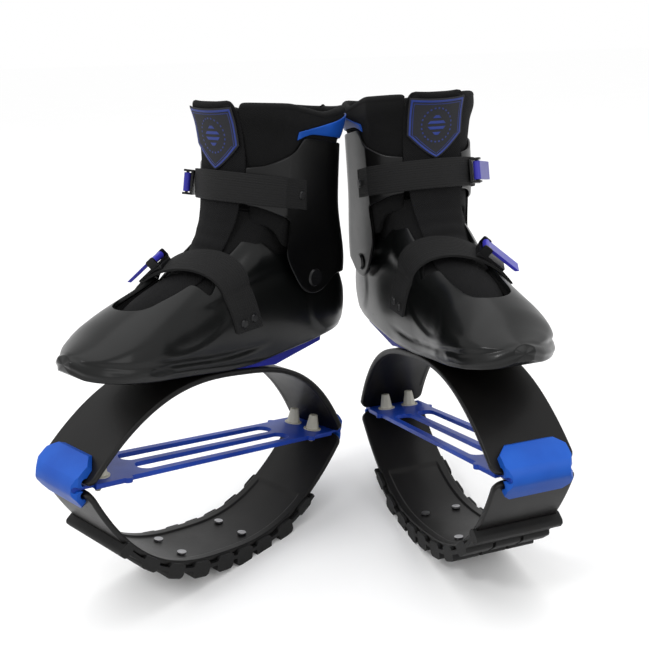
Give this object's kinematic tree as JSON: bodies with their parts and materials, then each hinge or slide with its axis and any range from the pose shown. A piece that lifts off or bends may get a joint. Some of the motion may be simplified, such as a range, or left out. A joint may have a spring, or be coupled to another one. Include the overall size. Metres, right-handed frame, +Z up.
{
  "type": "rebound boots",
  "caption": "Pair of rebound boots: buckled ankle boots, each on a springy oval bow frame with a lugged rubber tread.",
  "frame": {"origin": "centre of the pair's base, on the floor", "axes": "+Z up, the toes point to -Y and are turned out, +X to the wearer's left"},
  "size_m": [0.46, 0.4095, 0.4516],
  "materials": {
    "shell_black": "high gloss moulded",
    "footbed_grey": "woven",
    "lining_black": "fine knitted textile",
    "wedge_blue": "satin",
    "steel": "brushed",
    "bow_black": "satin",
    "strap_black": "woven webbing",
    "buckle_black": "gloss",
    "rivet_black": "satin",
    "trim_blue": "smooth coated textile",
    "tongue_black": "mesh textile",
    "badge_navy": "woven badge",
    "lever_blue": "gloss",
    "spring_blue": "gloss",
    "cap_blue": "gloss",
    "peg_white": "satin",
    "tread_black": "matt"
  },
  "bodies": {
    "right_boot": {"right_shell": "shell_black", "right_footbed": "footbed_grey", "right_liner_foot": "lining_black", "right_heel_wedge": "wedge_blue", "right_mount_bolts": "steel", "right_upper_bow": "bow_black", "right_instep_strap": "strap_black", "right_instep_buckle": "buckle_black", "right_shell_rivets": "rivet_black"},
    "right_cuff_frame": {"right_cuff": "shell_black", "right_liner_collar": "lining_black", "right_collar_trim": "trim_blue", "right_tongue": "tongue_black", "right_badge": "badge_navy", "right_ankle_strap": "strap_black", "right_ankle_buckle": "buckle_black", "right_cuff_rivets": "rivet_black", "right_ankle_pivots": "rivet_black"},
    "right_ankle_latch": {"right_ankle_lever": "lever_blue"},
    "right_instep_latch": {"right_instep_lever": "lever_blue"},
    "right_rear_end": {"right_t_spring": "spring_blue", "right_rear_cap": "cap_blue", "right_rear_pegs": "peg_white"},
    "right_front_end": {"right_front_cap": "cap_blue", "right_front_pegs": "peg_white"},
    "right_sole": {"right_lower_bow": "bow_black", "right_tread": "tread_black", "right_tread_screws": "steel"},
    "left_boot": {"left_shell": "shell_black", "left_footbed": "footbed_grey", "left_liner_foot": "lining_black", "left_heel_wedge": "wedge_blue", "left_mount_bolts": "steel", "left_upper_bow": "bow_black", "left_instep_strap": "strap_black", "left_instep_buckle": "buckle_black", "left_shell_rivets": "rivet_black"},
    "left_cuff_frame": {"left_cuff": "shell_black", "left_liner_collar": "lining_black", "left_collar_trim": "trim_blue", "left_tongue": "tongue_black", "left_badge": "badge_navy", "left_ankle_strap": "strap_black", "left_ankle_buckle": "buckle_black", "left_cuff_rivets": "rivet_black", "left_ankle_pivots": "rivet_black"},
    "left_ankle_latch": {"left_ankle_lever": "lever_blue"},
    "left_instep_latch": {"left_instep_lever": "lever_blue"},
    "left_rear_end": {"left_t_spring": "spring_blue", "left_rear_cap": "cap_blue", "left_rear_pegs": "peg_white"},
    "left_front_end": {"left_front_cap": "cap_blue", "left_front_pegs": "peg_white"},
    "left_sole": {"left_lower_bow": "bow_black", "left_tread": "tread_black", "left_tread_screws": "steel"}
  },
  "joints": [
    {"name": "right_cuff_flex", "type": "hinge", "parent": "right_boot", "child": "right_cuff_frame", "pos_m": [-0.06322, 0.05677, 0.27564], "axis": [0.8695, -0.4939, 0], "range_deg": [0, 15], "stiffness_Nm_per_rad": 4, "springref_deg": -8.59, "deforming": ["right_tongue", "right_liner_collar"]},
    {"name": "right_ankle_lever_open", "type": "hinge", "parent": "right_cuff_frame", "child": "right_ankle_latch", "pos_m": [-0.1371, 0.01605, 0.37308], "axis": [0.1078, 0.1897, 0.9759], "range_deg": [0, 100]},
    {"name": "right_instep_lever_open", "type": "hinge", "parent": "right_boot", "child": "right_instep_latch", "pos_m": [-0.14923, -0.04678, 0.31258], "axis": [0.0695, 0.9861, 0.1511], "range_deg": [0, 100]},
    {"name": "right_rebound", "type": "slide", "parent": "right_boot", "child": "right_rear_end", "axis": [0.3611, 0.6357, 0.6823], "range_m": [0, 0.01454], "stiffness_N_per_m": 80000, "springref_m": -0.001, "deforming": ["right_upper_bow"]},
    {"name": "right_spring_stretch", "type": "slide", "parent": "right_rear_end", "child": "right_front_end", "axis": [-0.482, -0.8486, 0.2181], "range_m": [0, 0.01642], "deforming": ["right_t_spring"]},
    {"name": "right_sole_rise", "type": "slide", "parent": "right_rear_end", "child": "right_sole", "axis": [-0.1833, -0.3226, 0.9286], "range_m": [0, 0.01454], "deforming": ["right_lower_bow", "right_tread"]},
    {"name": "pair_apart", "type": "slide", "parent": "right_boot", "child": "left_boot", "axis": [1, 0, 0], "range_m": [0, 0.15]},
    {"name": "left_cuff_flex", "type": "hinge", "parent": "left_boot", "child": "left_cuff_frame", "pos_m": [0.06322, 0.12257, 0.27564], "axis": [0.8695, 0.4939, 0], "range_deg": [0, 15], "stiffness_Nm_per_rad": 4, "springref_deg": -8.59, "deforming": ["left_tongue", "left_liner_collar"]},
    {"name": "left_ankle_lever_open", "type": "hinge", "parent": "left_cuff_frame", "child": "left_ankle_latch", "pos_m": [0.1371, 0.08185, 0.37308], "axis": [0.1078, -0.1897, -0.9759], "range_deg": [0, 100]},
    {"name": "left_instep_lever_open", "type": "hinge", "parent": "left_boot", "child": "left_instep_latch", "pos_m": [0.14923, 0.01902, 0.31258], "axis": [0.0695, -0.9861, -0.1511], "range_deg": [0, 100]},
    {"name": "left_rebound", "type": "slide", "parent": "left_boot", "child": "left_rear_end", "axis": [-0.3611, 0.6357, 0.6823], "range_m": [0, 0.01454], "stiffness_N_per_m": 80000, "springref_m": -0.001, "deforming": ["left_upper_bow"]},
    {"name": "left_spring_stretch", "type": "slide", "parent": "left_rear_end", "child": "left_front_end", "axis": [0.482, -0.8486, 0.2181], "range_m": [0, 0.01642], "deforming": ["left_t_spring"]},
    {"name": "left_sole_rise", "type": "slide", "parent": "left_rear_end", "child": "left_sole", "axis": [0.1833, -0.3226, 0.9286], "range_m": [0, 0.01454], "deforming": ["left_lower_bow", "left_tread"]}
  ],
  "couplings": [
    {"joint": "right_spring_stretch", "follows": "right_rebound", "ratio": 1.1293},
    {"joint": "right_sole_rise", "follows": "right_rebound", "ratio": 1},
    {"joint": "left_spring_stretch", "follows": "left_rebound", "ratio": 1.1293},
    {"joint": "left_sole_rise", "follows": "left_rebound", "ratio": 1}
  ]
}
